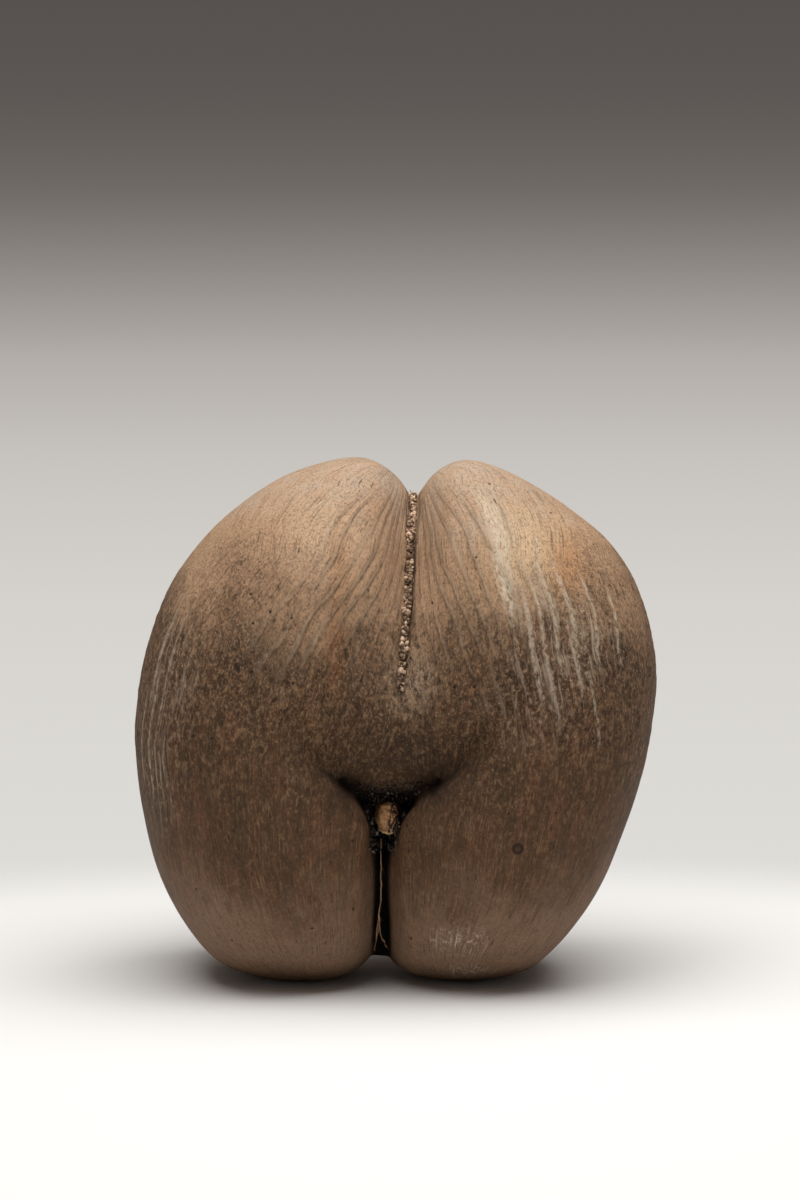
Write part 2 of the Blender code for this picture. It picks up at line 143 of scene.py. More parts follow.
# Where the groins get painted shade, as x and z, and how far to each side.
GROIN_CREASES = (
    ((-26, 120), (-30, 125), (-36, 130.5), (-44, 136.5), (-52, 143), (-61, 153)),
    ((20, 120), (24.5, 125), (32, 131.5), (41, 138.5), (49, 145), (57, 152)),
)
GROIN_CREASE_WIDTH = 2.6
GROIN_SHADE_WIDTH = 9

SHELL_VOXEL = 1.97
MELT_STEPS = 13
FLAT_FOOT = 1.3
# Hollows, which get painted shade: the rounds of smoothing that find them, and how far it lifts the skin at
# a hollow's edge and in its depth, in metres.
HOLLOW_REACH = 40
HOLLOW_LIFT = (0.0012, 0.0042)
# Between which depths, distances from the slit's edge and heights the recess's painted shade fades in and
# out.
RECESS_FRONT = (-67, -56)
RECESS_EDGE = (1.4, 4.2)
RECESS_BACK = (0, 8)
RECESS_TOP = (114, 124)

# How deep the seam lies in front and the cleft behind, as z and y, which the grain keeps along.
FRONT_SEAM = ((0, -45), (60, -62), (110, -70), (150, -77), (190, -66), (220, -53), (260, -31), (285, -6))
BACK_CLEFT = ((0, 14), (60, 34), (150, 58), (220, 49), (260, 33), (285, 4))
FRONT_GRAIN_WIDTH = 170
BACK_GRAIN_WIDTH = 180
GRAIN_GATHER = {
    "left": ((0, 1), (250, 1), (290, 0.7)),
    "right": ((0, 1), (200, 1), (245, 0.88), (257, 0.8), (280, 0.63), (295, 0.5)),
}

SEAM_CENTRE_Z = 180
SEAM_ANGLES = (184, -6)
SEAM_STEPS = 120
WELL_OUTSIDE = 200
HUSK_LIFT = 1.2

FIBRES = (
    ((-7.8, -46, 88), (-8, -50, 80), (-8.1, -53, 70), (-7.8, -54, 61), (-8.1, -54, 54), (-9.1, -53, 47),
     (-10.1, -53, 40.5), (-10.9, -52, 32.5)),
    ((-9.1, -53, 47), (-8.9, -53, 39), (-8.4, -53, 35.6), (-7.4, -53, 33.4), (-6.4, -53, 32)),
)


def srgb(red, green, blue):
    """A colour given as 0 to 255, in the linear values that Blender works in."""
    return tuple(((value / 255 + 0.055) / 1.055) ** 2.4 for value in (red, green, blue)) + (1,)


def add(tree, kind, inputs=None, output=0, **settings):
    """Adds a node with its settings, its inputs linked or filled in, and gives one output or several."""
    node = tree.nodes.new(kind)
    for name, value in settings.items():
        setattr(node, name, value)
    for name, value in (inputs or {}).items():
        if isinstance(value, Term):
            value.to(node.inputs[name])
        else:
            node.inputs[name].default_value = value
    if isinstance(output, tuple):
        return [Term(tree, node.outputs[name]) for name in output]
    return Term(tree, node.outputs[output])


class Term:
    """One value in a node tree. Arithmetic with it adds the nodes that work the result out."""

    def __init__(self, tree, socket):
        self.tree = tree
        self.socket = socket

    def to(self, socket):
        self.tree.links.new(self.socket, socket)

    def calc(self, operation, *others):
        values = dict(enumerate((self, *others)))
        return add(self.tree, "ShaderNodeMath", values, operation=operation)

    def __add__(self, other):
        return self.calc("ADD", other)

    def __sub__(self, other):
        return self.calc("SUBTRACT", other)

    def __mul__(self, other):
        return self.calc("MULTIPLY", other)

    def __truediv__(self, other):
        return self.calc("DIVIDE", other)

    def __rtruediv__(self, other):
        return add(self.tree, "ShaderNodeMath", {0: other, 1: self}, operation="DIVIDE")

    def __abs__(self):
        return self.calc("ABSOLUTE")

    def ease(self, low, high, start=0, end=1):
        """The value turned smoothly from start, at low, to end, at high."""
        inputs = {"Value": self, "From Min": low, "From Max": high, "To Min": start, "To Max": end}
        return add(self.tree, "ShaderNodeMapRange", inputs, "Result", interpolation_type="SMOOTHSTEP")

    def vector(self, operation, other=(0, 0, 0), output=0):
        return add(self.tree, "ShaderNodeVectorMath", {0: self, 1: other}, output, operation=operation)

    def stretched(self, factor):
        """The vector times one factor."""
        return add(self.tree, "ShaderNodeVectorMath", {0: self, "Scale": factor}, operation="SCALE")

    def counted(self, *sizes):
        """The vector with each axis counted in steps of its own size, in metres."""
        return self.vector("MULTIPLY", [1 / size for size in sizes])

    def split(self):
        """The vector's three parts."""
        return add(self.tree, "ShaderNodeSeparateXYZ", {0: self}, (0, 1, 2))

    def noise(self, sizes, detail=3, roughness=0.5, output=0):
        """Soft noise from 0 to 1, whose lumps have these sizes along the vector's axes, in metres."""
        inputs = {"Vector": self.counted(*sizes), "Scale": 1, "Detail": detail, "Roughness": roughness}
        return add(self.tree, "ShaderNodeTexNoise", inputs, output)

    def cells(self):
        """Distance from the middle of the nearest cell, 0 to about 1, and the cell's own draw."""
        inputs = {"Vector": self, "Scale": 1}
        distance, colour = add(self.tree, "ShaderNodeTexVoronoi", inputs, ("Distance", "Color"))
        return distance, colour.split()[0]

    def near(self, centre, reach):
        """1 at the centre, falling softly to 0 at the reach on each axis, all in metres."""
        steps = self.vector("SUBTRACT", centre).counted(*reach)
        return steps.vector("LENGTH", output="Value").ease(0, 1, 1, 0)


def tint(share, first, second):
    """The first colour turned towards the second by the share."""
    # The Mix node has its colours at inputs 6 and 7 and at output 2.
    return add(share.tree, "ShaderNodeMix", {0: share, 6: first, 7: second}, 2, data_type="RGBA")


def field(tree, name, output="Fac"):
    """What the piece keeps under this name at each of its points."""
    return add(tree, "ShaderNodeAttribute", output=output, attribute_name=name)


def new_material(name):
    """A material's node tree, its Principled shader, and the piece's own position."""
    material = bpy.data.materials.new(name)
    material.use_nodes = True
    tree = material.node_tree
    shader = tree.nodes["Principled BSDF"]
    position = add(tree, "ShaderNodeTexCoord", output="Object")
    return material, tree, shader, position


def bump(shader, *layers):
    """Stacks heights, each with its own depth in metres, on the shader's normal."""
    below = {}
    for height, depth in layers:
        inputs = {"Height": height, "Distance": depth, "Strength": 1, **below}
        below = {"Normal": add(height.tree, "ShaderNodeBump", inputs, "Normal")}
    below["Normal"].to(shader.inputs["Normal"])


# Painted shade on the belly over the germ pore, which faces down: its centre and its reach on each axis, in
# metres.
BELLY_PAINTED_SHADE = ((0.002, -0.075, 0.137), (0.066, 0.07, 0.05))

# Stains, and patches of painted highlight and painted shade: each at a place on the front with its reach on
# each axis, in metres, its strength and colour.
STAINS_AND_PAINTED_LIGHT = (
    # The first three make a warm pale patch on the right crown brighter: painted highlight where the lamp
    # falls.
    ((0.074, -0.06, 0.25), (0.042, 0.06, 0.044), 1.0, (238, 200, 158)),
    ((0.06, -0.06, 0.264), (0.022, 0.05, 0.034), 0.6, (236, 210, 178)),
    ((0.068, -0.066, 0.247), (0.022, 0.05, 0.026), 0.9, (246, 210, 170)),
    ((0.094, -0.062, 0.242), (0.017, 0.05, 0.028), 0.75, (214, 146, 84)),
    # Painted highlight on the upper front of the left crown.
    ((-0.036, -0.066, 0.26), (0.036, 0.05, 0.04), 1.0, (236, 200, 164)),
    ((-0.03, -0.072, 0.243), (0.01, 0.05, 0.036), 0.55, (206, 146, 92)),
    ((-0.076, -0.08, 0.098), (0.04, 0.06, 0.045), 0.5, (72, 56, 38)),
    ((0.03, -0.075, 0.078), (0.034, 0.06, 0.05), 0.45, (72, 56, 38)),
    ((-0.0325, -0.079, 0.199), (0.009, 0.05, 0.036), 0.75, (176, 104, 52)),
    ((0.008, -0.072, 0.182), (0.024, 0.05, 0.028), 1.0, (220, 190, 160)),
    ((-0.019, -0.075, 0.18), (0.014, 0.05, 0.02), 0.5, (60, 42, 28)),
    # Painted shade on the left lobe at mid height, where its front turns down.
    ((-0.076, -0.08, 0.198), (0.034, 0.05, 0.03), 0.9, (60, 42, 26)),
    ((0.11, -0.0765, 0.1476), (0.0055, 0.02, 0.0055), 1.0, (40, 32, 24)),
    ((0.116, -0.072, 0.1397), (0.0045, 0.02, 0.0045), 1.0, (40, 32, 24)),
    ((0.102, -0.062, 0.2), (0.02, 0.05, 0.028), 0.6, (196, 160, 126)),
    ((0.124, -0.06, 0.19), (0.018, 0.05, 0.03), 0.5, (84, 74, 66)),
)

# Pale streaks down the grain: across, ends by height, half width and strength, in metres.
PALE_STREAKS = (
    (0.0567, (0.206, 0.292), 0.0044, 1.0),
    (0.061, (0.226, 0.286), 0.0024, 0.8),
    (0.064, (0.162, 0.24), 0.0018, 0.8),
    (0.07, (0.15, 0.25), 0.0013, 0.7),
    (0.076, (0.18, 0.268), 0.0016, 0.7),
    (0.084, (0.166, 0.256), 0.0018, 0.8),
    (0.089, (0.14, 0.196), 0.0013, 0.6),
    (0.095, (0.18, 0.246), 0.0014, 0.7),
    (0.1078, (0.186, 0.238), 0.0014, 0.8),
    (-0.124, (0.16, 0.222), 0.0022, 0.7),
    (-0.1205, (0.105, 0.192), 0.0015, 0.6),
    (-0.13, (0.115, 0.18), 0.0013, 0.6),
    (-0.114, (0.135, 0.205), 0.0011, 0.5),
)

# Scuffed places: where, how far on each axis and how strong.
SCUFFED = (
    ((0.08, -0.075, 0.2), (0.035, 0.06, 0.055), 0.7),
    ((0.102, -0.062, 0.198), (0.028, 0.05, 0.036), 1.0),
    ((0.075, -0.075, 0.165), (0.04, 0.06, 0.03), 0.45),
    ((-0.118, -0.055, 0.185), (0.02, 0.05, 0.06), 0.6),
    ((-0.128, -0.05, 0.13), (0.02, 0.05, 0.06), 0.5),
    ((0.036, -0.062, 0.034), (0.026, 0.04, 0.014), 1.0),
    ((0.04, -0.045, 0.013), (0.024, 0.04, 0.008), 1.0),
)
RING_MARK = (0.0669, -0.0842, 0.0899)
SCUFF_COLOUR = (222, 202, 180)
# The mean by which the noise that bends the streaks moves them.
STREAK_WOBBLE = 0.0025


def shell_patterns(tree, position):
    """What the shell's finish is mixed from: what its points keep, noises, specks and zones of height."""
    names = ("fold", "ridged", "pit", "groin", "hollow", "recess")
    on = SimpleNamespace(position=position, **{name: field(tree, name) for name in names})
    on.grain = field(tree, "grain", "Vector")
    on.across, on.height, _ = on.grain.split()
    on.aside = abs(on.across)
    on.rise = on.fold.calc("PINGPONG", 0.5)

    on.mottle = position.noise((0.011, 0.011, 0.016), 5, 0.65)
    on.felt = position.noise((0.0027, 0.0027, 0.0045), 6, 0.78)
    on.grit = position.noise((0.0012, 0.0012, 0.0018), 4, 0.85)
    on.lines = on.grain.noise((0.0012, 0.022, 1), 4, 0.7)
    on.threads = on.grain.noise((0.0007, 0.011, 1), 3, 0.7)

    patches = position.noise((0.04, 0.04, 0.055), 4, 0.6)
    on.uneven = (on.mottle - 0.5) * 0.035 + ((patches - 0.5) * 0.1 + on.height)
    upper = on.uneven + on.aside.ease(0.1, 0.03, 0, 0.022)
    on.crown = upper.ease(0.192, 0.245)
    on.low = on.uneven.ease(0.185, 0.115)
    on.middle = upper.ease(0.268, 0.196) * on.uneven.ease(0.07, 0.19, 0.1, 1)
    on.rough = on.middle * 0.9 + 0.1

    dots, drawn = position.counted(0.011, 0.011, 0.011).cells()
    dot = dots.ease(0.1, 0.05) * drawn.ease(0.55, 0.6, 0, 0.9)
    dashes, drawn = on.grain.counted(0.0035, 0.014, 1).cells()
    dash = dashes.ease(0.15, 0.06) * drawn.ease(0.5, 0.6, 0, 0.65)
    # Dark specks and dashes, and painted shade in the pits at 0.6.
    on.specks = dot.calc("MAXIMUM", dash).calc("MAXIMUM", on.pit * 0.6)
    return on


def ground_layers(on):
    """Long bands, mottled tone, pale feet partly painted with floor light, painted belly shade, and crowns
    with bleached tops.
    """
    yield on.grain.noise((0.007, 0.1, 1), 4, 0.6).ease(0.42, 0.6, 0, 0.6), (124, 83, 57)
    yield on.mottle.ease(0.52, 0.36, 0, 0.65), (74, 58, 37)
    # Pale feet: partly their own colour, partly painted light bounced from the floor; near the floor the
    # share drops to 0.1, painted shade where the nut meets it.
    yield on.uneven.ease(0.09, 0.025) * on.height.ease(0.0, 0.022, 0.1, 0.85), (160, 128, 104)
    # Painted shade on the belly over the germ pore, which faces down.
    yield on.position.near(*BELLY_PAINTED_SHADE) * 0.85, (66, 47, 32)
    yield on.crown * 0.9, (208, 168, 132)
    yield on.uneven.ease(0.25, 0.3) * on.mottle.ease(0.36, 0.6, 0.4, 0.9), (210, 186, 162)
    # Real stains, with patches of painted highlight and painted shade among them.
    for spot, reach, share, shade in STAINS_AND_PAINTED_LIGHT:
        stain_and_light = on.position.near(spot, reach) * on.felt.ease(0.3, 0.6, 0.3, share)
        yield stain_and_light * on.lines.ease(0.34, 0.6, 0.5, 1), shade


def fibre_layers(on):
    """Fine lines, the felt's pockets and knots, grit, and threads that show where it is frayed."""
    yield on.lines.ease(0.48, 0.33, 0, 0.5), (58, 40, 27)
    yield on.lines.ease(0.56, 0.7) * on.aside.ease(0.085, 0.125, 0.34, 0.7), (184, 148, 112)
    yield on.felt.ease(0.52, 0.4) * (on.rough * 0.8), (55, 37, 22)
    yield on.felt.ease(0.51, 0.62) * (on.rough * 0.66), (188, 147, 107)
    grit_share = on.middle * 0.1 + 0.6
    yield on.grit.ease(0.5, 0.38) * grit_share * (on.low * -0.4 + 1), (84, 60, 42)
    yield on.grit.ease(0.52, 0.66) * grit_share * (on.low * -0.8 + 1), (216, 180, 146)
    thread_share = on.mottle.ease(0.4, 0.6, 0.15, 0.5)
    yield on.threads.ease(0.5, 0.3) * thread_share, (54, 37, 24)
    yield on.threads.ease(0.52, 0.72) * (thread_share * 0.7), (190, 154, 120)


def ridge_layers(on):
    """Painted shade in the creases and painted highlight on the crests."""
    crease_shade = (on.rise.ease(0.5, 0.05) * 0.8 + on.rise.ease(0.16, 0)) * on.ridged
    yield crease_shade * 0.14, (84, 60, 42)
    wave = on.fold.calc("FRACT")
    crest_highlight = wave.ease(0.06, 0.16) * wave.ease(0.42, 0.18) * on.ridged
    yield crest_highlight * (on.middle * -0.28 + 0.42), (232, 206, 178)


def wear_layers(on):
    """Pale streaks down the grain, rubbed flanks and scuffed places."""
    wobble = on.grain.noise((0.03, 0.04, 1)) * 0.005 + on.across
    flaked = on.grain.noise((0.0016, 0.0042, 1), 5, 0.8).ease(0.42, 0.55)
    for line, (bottom, top), width, share in PALE_STREAKS:
        fade = (top - bottom) / 4
        streak = abs(wobble - (line + STREAK_WOBBLE)).ease(width, width * 0.2) * flaked
        streak = streak * on.height.ease(bottom, bottom + fade)
        yield streak * on.height.ease(top, top - fade, 0, share), (230, 212, 186)

    scratches = on.grain.noise((0.0022, 0.04, 1), 4, 0.7)
    rubbed = on.grain.noise((0.012, 0.09, 1)).ease(0.5, 0.66, 0, 0.55) * on.aside.ease(0.13, 0.19)
    yield rubbed * scratches.ease(0.5, 0.62), SCUFF_COLOUR
    flakes = scratches.ease(0.52, 0.64).calc("MAXIMUM", on.felt.ease(0.53, 0.64))
    for spot, reach, share in SCUFFED:
        yield on.position.near(spot, reach) * (flakes * share), SCUFF_COLOUR


def mark_layers(on):
    """The ring mark and specks, and painted shade in the pits, the groins, the hollows, the slit and the
    seam.
    """
    away = on.position.vector("DISTANCE", RING_MARK, "Value")
    yield away.ease(0.0037, 0.0029) * away.ease(0.0008, 0.0022, 0.35, 0.85), (46, 28, 22)
    yield on.specks, (38, 25, 18)
    # Painted shade in the groins.
    yield on.groin, (34, 24, 16)
    # Painted shade in the hollows, stronger low down, broken up by the felt.
    hollow_shade = on.height.ease(0.17, 0.2, 0.95, 0.4) * on.felt.ease(0.3, 0.6, 1, 0.7)
    yield on.hollow * hollow_shade, (30, 21, 15)
    # Painted shade, near black, on the walls of the germ pore and of the slit.
    yield on.recess, (15, 10, 7)
    # Painted shade in the seam's groove, weaker near the top.
    seam = (on.felt * 0.004 + on.aside).ease(0.0055, 0.0028) * on.height.ease(0.165, 0.2)
    yield seam * on.height.ease(0.25, 0.266, 0.85, 0.5), (62, 43, 31)


def shell_material():
    """Worn brown shell: pale and ridged on the crowns, rough at mid height, finely lined below."""
    material, tree, shader, position = new_material("nut shell")
    on = shell_patterns(tree, position)
    colour = tint(on.low, srgb(126, 92, 61), srgb(95, 67, 42))
    for layers in (ground_layers, fibre_layers, ridge_layers, wear_layers, mark_layers):
        for share, shade in layers(on):
            colour = tint(share, colour, srgb(*shade))
    colour.to(shader.inputs["Base Color"])
    (on.grit * 0.35 + 0.42).to(shader.inputs["Roughness"])
    shader.inputs["Specular IOR Level"].default_value = 0.22

    hill = on.rise * -2 + 1
    hill = hill * hill * (on.ridged * -1)
    coarse = on.felt * on.rough
    fine = on.specks * -0.8 + on.threads
    bump(shader, (hill, 0.0017), (coarse, 0.0031), (on.lines, 0.0005), (on.grit, 0.0011), (fine, 0.0002))
    return material


def smoothstep(low, high, value):
    share = np.clip((value - low) / (high - low), 0, 1)
    return share * share * (3 - 2 * share)


def closed_curve(corners, steps):
    """Points on a smooth closed curve (Catmull-Rom) through the corners."""
    corners = np.asarray(corners, float)
    count = len(corners)
    place = np.arange(steps) * count / steps
    first = np.floor(place).astype(int)
    t = (place - first)[:, None]
    a, b, c, d = (corners[(first + step) % count] for step in (-1, 0, 1, 2))
    return 0.5 * (2 * b + (c - a) * t + (2 * a - 5 * b + 4 * c - d) * t**2 + (3 * b - a - 3 * c + d) * t**3)


def smooth_path(corners, steps):
    """Points on a smooth open curve through the corners."""
    corners = np.asarray(corners, float)
    there_and_back = np.concatenate([corners, corners[-2:0:-1]])
    return closed_curve(there_and_back, steps * len(there_and_back))[: steps * (len(corners) - 1) + 1]


def outline_radius(lobe, angle):
    away = closed_curve(lobe["outline"], OUTLINE_STEPS) - np.array(lobe["centre"])[[0, 2]]
    turned = np.arctan2(lobe["side"] * away[:, 0], away[:, 1])
    order = np.argsort(turned)
    return np.interp(angle, turned[order], np.hypot(*away.T)[order], period=math.tau)


def midline(z):
    return np.interp(z, MIDLINE_Z, MIDLINE_X)


def wall(y, z):
    """How far from the midline a lobe's inner side stands, and how softly its edge turns."""
    slit = np.interp(z, SLIT_Z, SLIT_HALF_WIDTH)
    slit += (BURIED - slit) * smoothstep(*JOIN_Z, z)
    slit_floor = np.interp(z, SLIT_FLOOR_Z, SLIT_FLOOR_Y)
    cleft_floor = np.interp(z, CLEFT_FLOOR_Z, CLEFT_FLOOR_Y)
    in_front = 1 - smoothstep(slit_floor - FLOOR_SOFTNESS, slit_floor + FLOOR_SOFTNESS, y)
    behind = smoothstep(cleft_floor - FLOOR_SOFTNESS, cleft_floor + FLOOR_SOFTNESS, y)
    offset = BURIED + (slit - BURIED) * in_front + (CLEFT_HALF_WIDTH - BURIED) * behind
    return offset, FRONT_ROUNDING + (BACK_ROUNDING - FRONT_ROUNDING) * smoothstep(*ROUNDING_TURN, y)


def meshed(name, cage):
    """The cage's faces as a mesh of this name; the cage is freed."""
    mesh = bpy.data.meshes.new(name)
    cage.to_mesh(mesh)
    cage.free()
    return mesh


def unit_sphere(name, subdivisions):
    cage = bmesh.new()
    bmesh.ops.create_icosphere(cage, subdivisions=subdivisions, radius=1)
    return meshed(name, cage)


def points_of(mesh, what="co"):
    """The mesh's points, or their normals, as rows of x, y and z."""
    points = np.empty(len(mesh.vertices) * 3)
    mesh.vertices.foreach_get(what, points)
    return points.reshape(-1, 3)


def set_points(mesh, points):
    mesh.vertices.foreach_set("co", np.ascontiguousarray(points, np.float32).ravel())
    mesh.update()


def lobe_mesh(name, lobe):
    """One lobe: its front outline swollen to the depth of the nut, its inner side trimmed."""
    mesh = unit_sphere(name, LOBE_SUBDIVISIONS)
    direction = points_of(mesh)
    side = lobe["side"]
    outline = outline_radius(lobe, np.arctan2(side * direction[:, 0], direction[:, 2]))
    depth = np.where(direction[:, 1] < 0, FRONT_DEPTH, BACK_DEPTH)
    flat = np.hypot(direction[:, 0], direction[:, 2]) / outline
    thick = np.abs(direction[:, 1]) / depth
    radius = (flat**FULLNESS + thick**FULLNESS) ** (-1 / FULLNESS)
    points = np.array(lobe["centre"]) + direction * radius[:, None]
    off_midline = side * (points[:, 0] - midline(points[:, 2]))
    offset, rounding = wall(points[:, 1], points[:, 2])
    off_midline = offset + rounding * np.logaddexp(0, (off_midline - offset) / rounding)
    points[:, 0] = midline(points[:, 2]) + side * off_midline
    set_points(mesh, points)
    return mesh


def bridge_mesh(name, bridge):
    mesh = unit_sphere(name, LOBE_SUBDIVISIONS - 1)
    direction = points_of(mesh)
    scaled_direction = np.abs(direction) / np.array(bridge["radii"])
    radius = (scaled_direction ** bridge["fullness"]).sum(axis=1) ** (-1 / bridge["fullness"])
    set_points(mesh, np.array(bridge["centre"]) + direction * radius[:, None])
    return mesh


def placed(name, mesh):
    piece = bpy.data.objects.new(name, mesh)
    bpy.context.scene.collection.objects.link(piece)
    return piece


def plain(draft):
    """The draft's mesh with its modifiers applied; the draft is removed."""
    graph = bpy.context.evaluated_depsgraph_get()
    mesh = bpy.data.meshes.new_from_object(draft.evaluated_get(graph))
    bpy.data.objects.remove(draft)
    return mesh


def joined(name, meshes):
    cage = bmesh.new()
    for mesh in meshes:
        cage.from_mesh(mesh)
        bpy.data.meshes.remove(mesh)
    return meshed(name, cage)


def melted(mesh, voxel, melt_steps):
    """The mesh as one even skin: a voxel remesh unites what overlaps and smoothing melts the joins."""
    draft = placed(mesh.name, mesh)
    remesh = draft.modifiers.new("unite", "REMESH")
    remesh.mode = "VOXEL"
    remesh.voxel_size = voxel
    melt = draft.modifiers.new("melt", "SMOOTH")
    melt.iterations = melt_steps
    return plain(draft)


def beside(points, path):
    """How far each point lies from the path, seen from the front, and how far along it, 0 to 1."""
    path = np.asarray(path, float)
    spots = points[:, [0, 2]]
    lengths = np.hypot(*np.diff(path, axis=0).T)
    starts = np.concatenate([[0], np.cumsum(lengths)])
    distance = np.full(len(spots), np.inf)
    along = np.zeros(len(spots))
    for first, second, length, start in zip(path[:-1], path[1:], lengths, starts):
        share = np.clip((spots - first) @ (second - first) / length**2, 0, 1)
        away = np.hypot(*(spots - first - share[:, None] * (second - first)).T)
        along = np.where(away < distance, (start + share * length) / starts[-1], along)
        distance = np.minimum(away, distance)
    return distance, along


def press(mesh, path, depths, widths):
    """Moves the front of the skin along its own normals under one stroke."""
    points, normals = points_of(mesh), points_of(mesh, "normal")
    distance, along = beside(points, path)
    stations = np.linspace(0, 1, len(path))
    depth = np.interp(along, stations, depths)
    width = np.interp(along, stations, widths)
    push = depth * np.exp(-((distance / width) ** 2)) * smoothstep(0, 0.5, -normals[:, 1])
    set_points(mesh, points - normals * push[:, None])


def sink_belly(mesh):
    """Presses the front of the mound back between the groins; what lies deeper moves less."""
    points = points_of(mesh)
    x, y, z = points.T
    beyond = np.abs(x - midline(z)) - np.interp(z, BELLY_Z, BELLY_HALF_WIDTH)
    in_front = np.clip((BELLY_BACK_Y - y) / (FRONT_DEPTH + BELLY_BACK_Y), 0, 1)
    share = (1 - smoothstep(*BELLY_EDGE, beyond)) * in_front
    points[:, 1] += np.interp(z, BELLY_Z, BELLY_DEPTH) * share
    set_points(mesh, points)


def grain_of(points):
    """Where each point lies across the grain and along it.

    Across is counted from the front seam outwards, round the side, to the cleft behind, so the
    lines along which it is constant fan out from the crown as the ridges do.
    """
    x, y, z = points.T
    across = np.zeros(len(points))
    for name, lobe in LOBES.items():
        side = lobe["side"]
        spine_x = np.interp(z, *np.transpose(lobe["spine"]))
        inner = side * (midline(z) - spine_x)
        turn = np.arctan2(np.abs(y), side * (x - spine_x))
        front = turn / np.arctan2(-np.interp(z, *np.transpose(FRONT_SEAM)), inner)
        back = turn / np.arctan2(np.interp(z, *np.transpose(BACK_CLEFT)), inner)
        own = np.where(y < 0, FRONT_GRAIN_WIDTH * (1 - front), FRONT_GRAIN_WIDTH + BACK_GRAIN_WIDTH * back)
        own *= side * np.interp(z, *np.transpose(GRAIN_GATHER[name]))
        across = np.where(side * (x - midline(z)) > 0, own, across)
    return np.stack([across, z, np.zeros(len(z))], axis=1)


def hollow_of(mesh, reach):
    """How far wide smoothing would lift each point along its normal, which is most in a hollow."""
    edges = np.empty(len(mesh.edges) * 2, np.int64)
    mesh.edges.foreach_get("vertices", edges)
    first, second = edges.reshape(-1, 2).T
    count = np.bincount(np.concatenate([first, second]), minlength=len(mesh.vertices))[:, None]
    points = points_of(mesh)
    spread = points.copy()
    for _ in range(reach):
        total = np.zeros_like(spread)
        np.add.at(total, first, spread[second])
        np.add.at(total, second, spread[first])
        spread = 0.3 * spread + 0.7 * total / count
    return np.einsum("ij,ij->i", spread - points, points_of(mesh, "normal"))


def recess_of(points):
    """Painted shade, 1 on the walls of the germ pore and of the slit in front, falling to 0 at their edges.
    """
    x, y, z = points.T
    beyond = np.abs(x - midline(z)) - np.interp(z, SLIT_Z, SLIT_HALF_WIDTH)
    deep = smoothstep(*RECESS_FRONT, y) * (1 - smoothstep(*RECESS_EDGE, beyond))
    return deep * (1 - smoothstep(*RECESS_BACK, y)) * (1 - smoothstep(*RECESS_TOP, z))


def groin_of(points):
    """Painted shade in the creases that run up from the germ pore, 0 to 1, darkest at the pore."""
    share = np.zeros(len(points))
    for path in GROIN_CREASES:
        distance, along = beside(points, path)
        wide = 0.5 * np.exp(-((distance / GROIN_SHADE_WIDTH) ** 2)) * (1 - 0.6 * along)
        width = GROIN_CREASE_WIDTH * (1 - 0.65 * along)
        thin = np.exp(-((distance / width) ** 2)) * (1 - smoothstep(0.1, 1, along))
        share = np.maximum(share, np.maximum(wide, 0.95 * thin))
    return share * (points[:, 1] < 0)


def keep(mesh, name, values):
    """Keeps a number or a vector at each point of the mesh under this name."""
    kind, part = ("FLOAT", "value") if values.ndim == 1 else ("FLOAT_VECTOR", "vector")
    mesh.attributes.new(name, kind, "POINT").data.foreach_set(part, values.ravel())


def new_tree(name, sizes):
    """An empty Geometry Nodes tree with a named input for each size, and what comes in by name."""
    tree = bpy.data.node_groups.new(name, "GeometryNodeTree")
    for way in ("INPUT", "OUTPUT"):
        tree.interface.new_socket("Geometry", in_out=way, socket_type="NodeSocketGeometry")
    for label, value in sizes.items():
        kind = "NodeSocketInt" if isinstance(value, int) else "NodeSocketFloat"
        tree.interface.new_socket(label, in_out="INPUT", socket_type=kind)
    entrance = tree.nodes.new("NodeGroupInput")
    return tree, {socket.name: Term(tree, socket) for socket in entrance.outputs}


def grown(name, mesh, tree, sizes, node):
    """The piece that the tree makes of the mesh, as a plain mesh at the origin, in the node's place."""
    draft = placed(name + " draft", mesh)
    modifier = draft.modifiers.new(tree.name, "NODES")
    modifier.node_group = tree
    for item in tree.interface.items_tree:
        if item.in_out == "INPUT" and item.name in sizes:
            modifier[item.identifier] = sizes[item.name]
    piece = placed(name, plain(draft))
    piece.data.name = name
    piece.data.shade_smooth()
    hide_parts(node)
    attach(piece, "root")
    return piece


def realized(geometry):
    return add(geometry.tree, "GeometryNodeRealizeInstances", {0: geometry})


def end_tree(geometry, material):
    inputs = {"Geometry": realized(geometry), "Material": material}
    dressed = add(geometry.tree, "GeometryNodeSetMaterial", inputs)
    dressed.to(geometry.tree.nodes.new("NodeGroupOutput").inputs[0])


def keep_field(geometry, name, value, domain="POINT"):
    inputs = {"Geometry": geometry, "Name": name, "Value": value}
    return add(geometry.tree, "GeometryNodeStoreNamedAttribute", inputs, data_type="FLOAT", domain=domain)


def draw(tree, low, high, seed):
    """A number, or a vector, drawn for each point or instance between low and high."""
    # The node has a vector's ends at inputs 0 and 1, and a number's at 2 and 3 with its output at 1.
    if isinstance(low, tuple):
        inputs = {0: low, 1: high, "Seed": seed}
        return add(tree, "FunctionNodeRandomValue", inputs, 0, data_type="FLOAT_VECTOR")
    return add(tree, "FunctionNodeRandomValue", {2: low, 3: high, "Seed": seed}, 1, data_type="FLOAT")


def above(value, low, high, seed):
    """Whether the value is over a number drawn between low and high."""
    inputs = {0: value, 1: draw(value.tree, low, high, seed)}
    return add(value.tree, "FunctionNodeCompare", inputs, operation="GREATER_THAN")


def shifted(geometry, offset):
    return add(geometry.tree, "GeometryNodeSetPosition", {"Geometry": geometry, "Offset": offset})


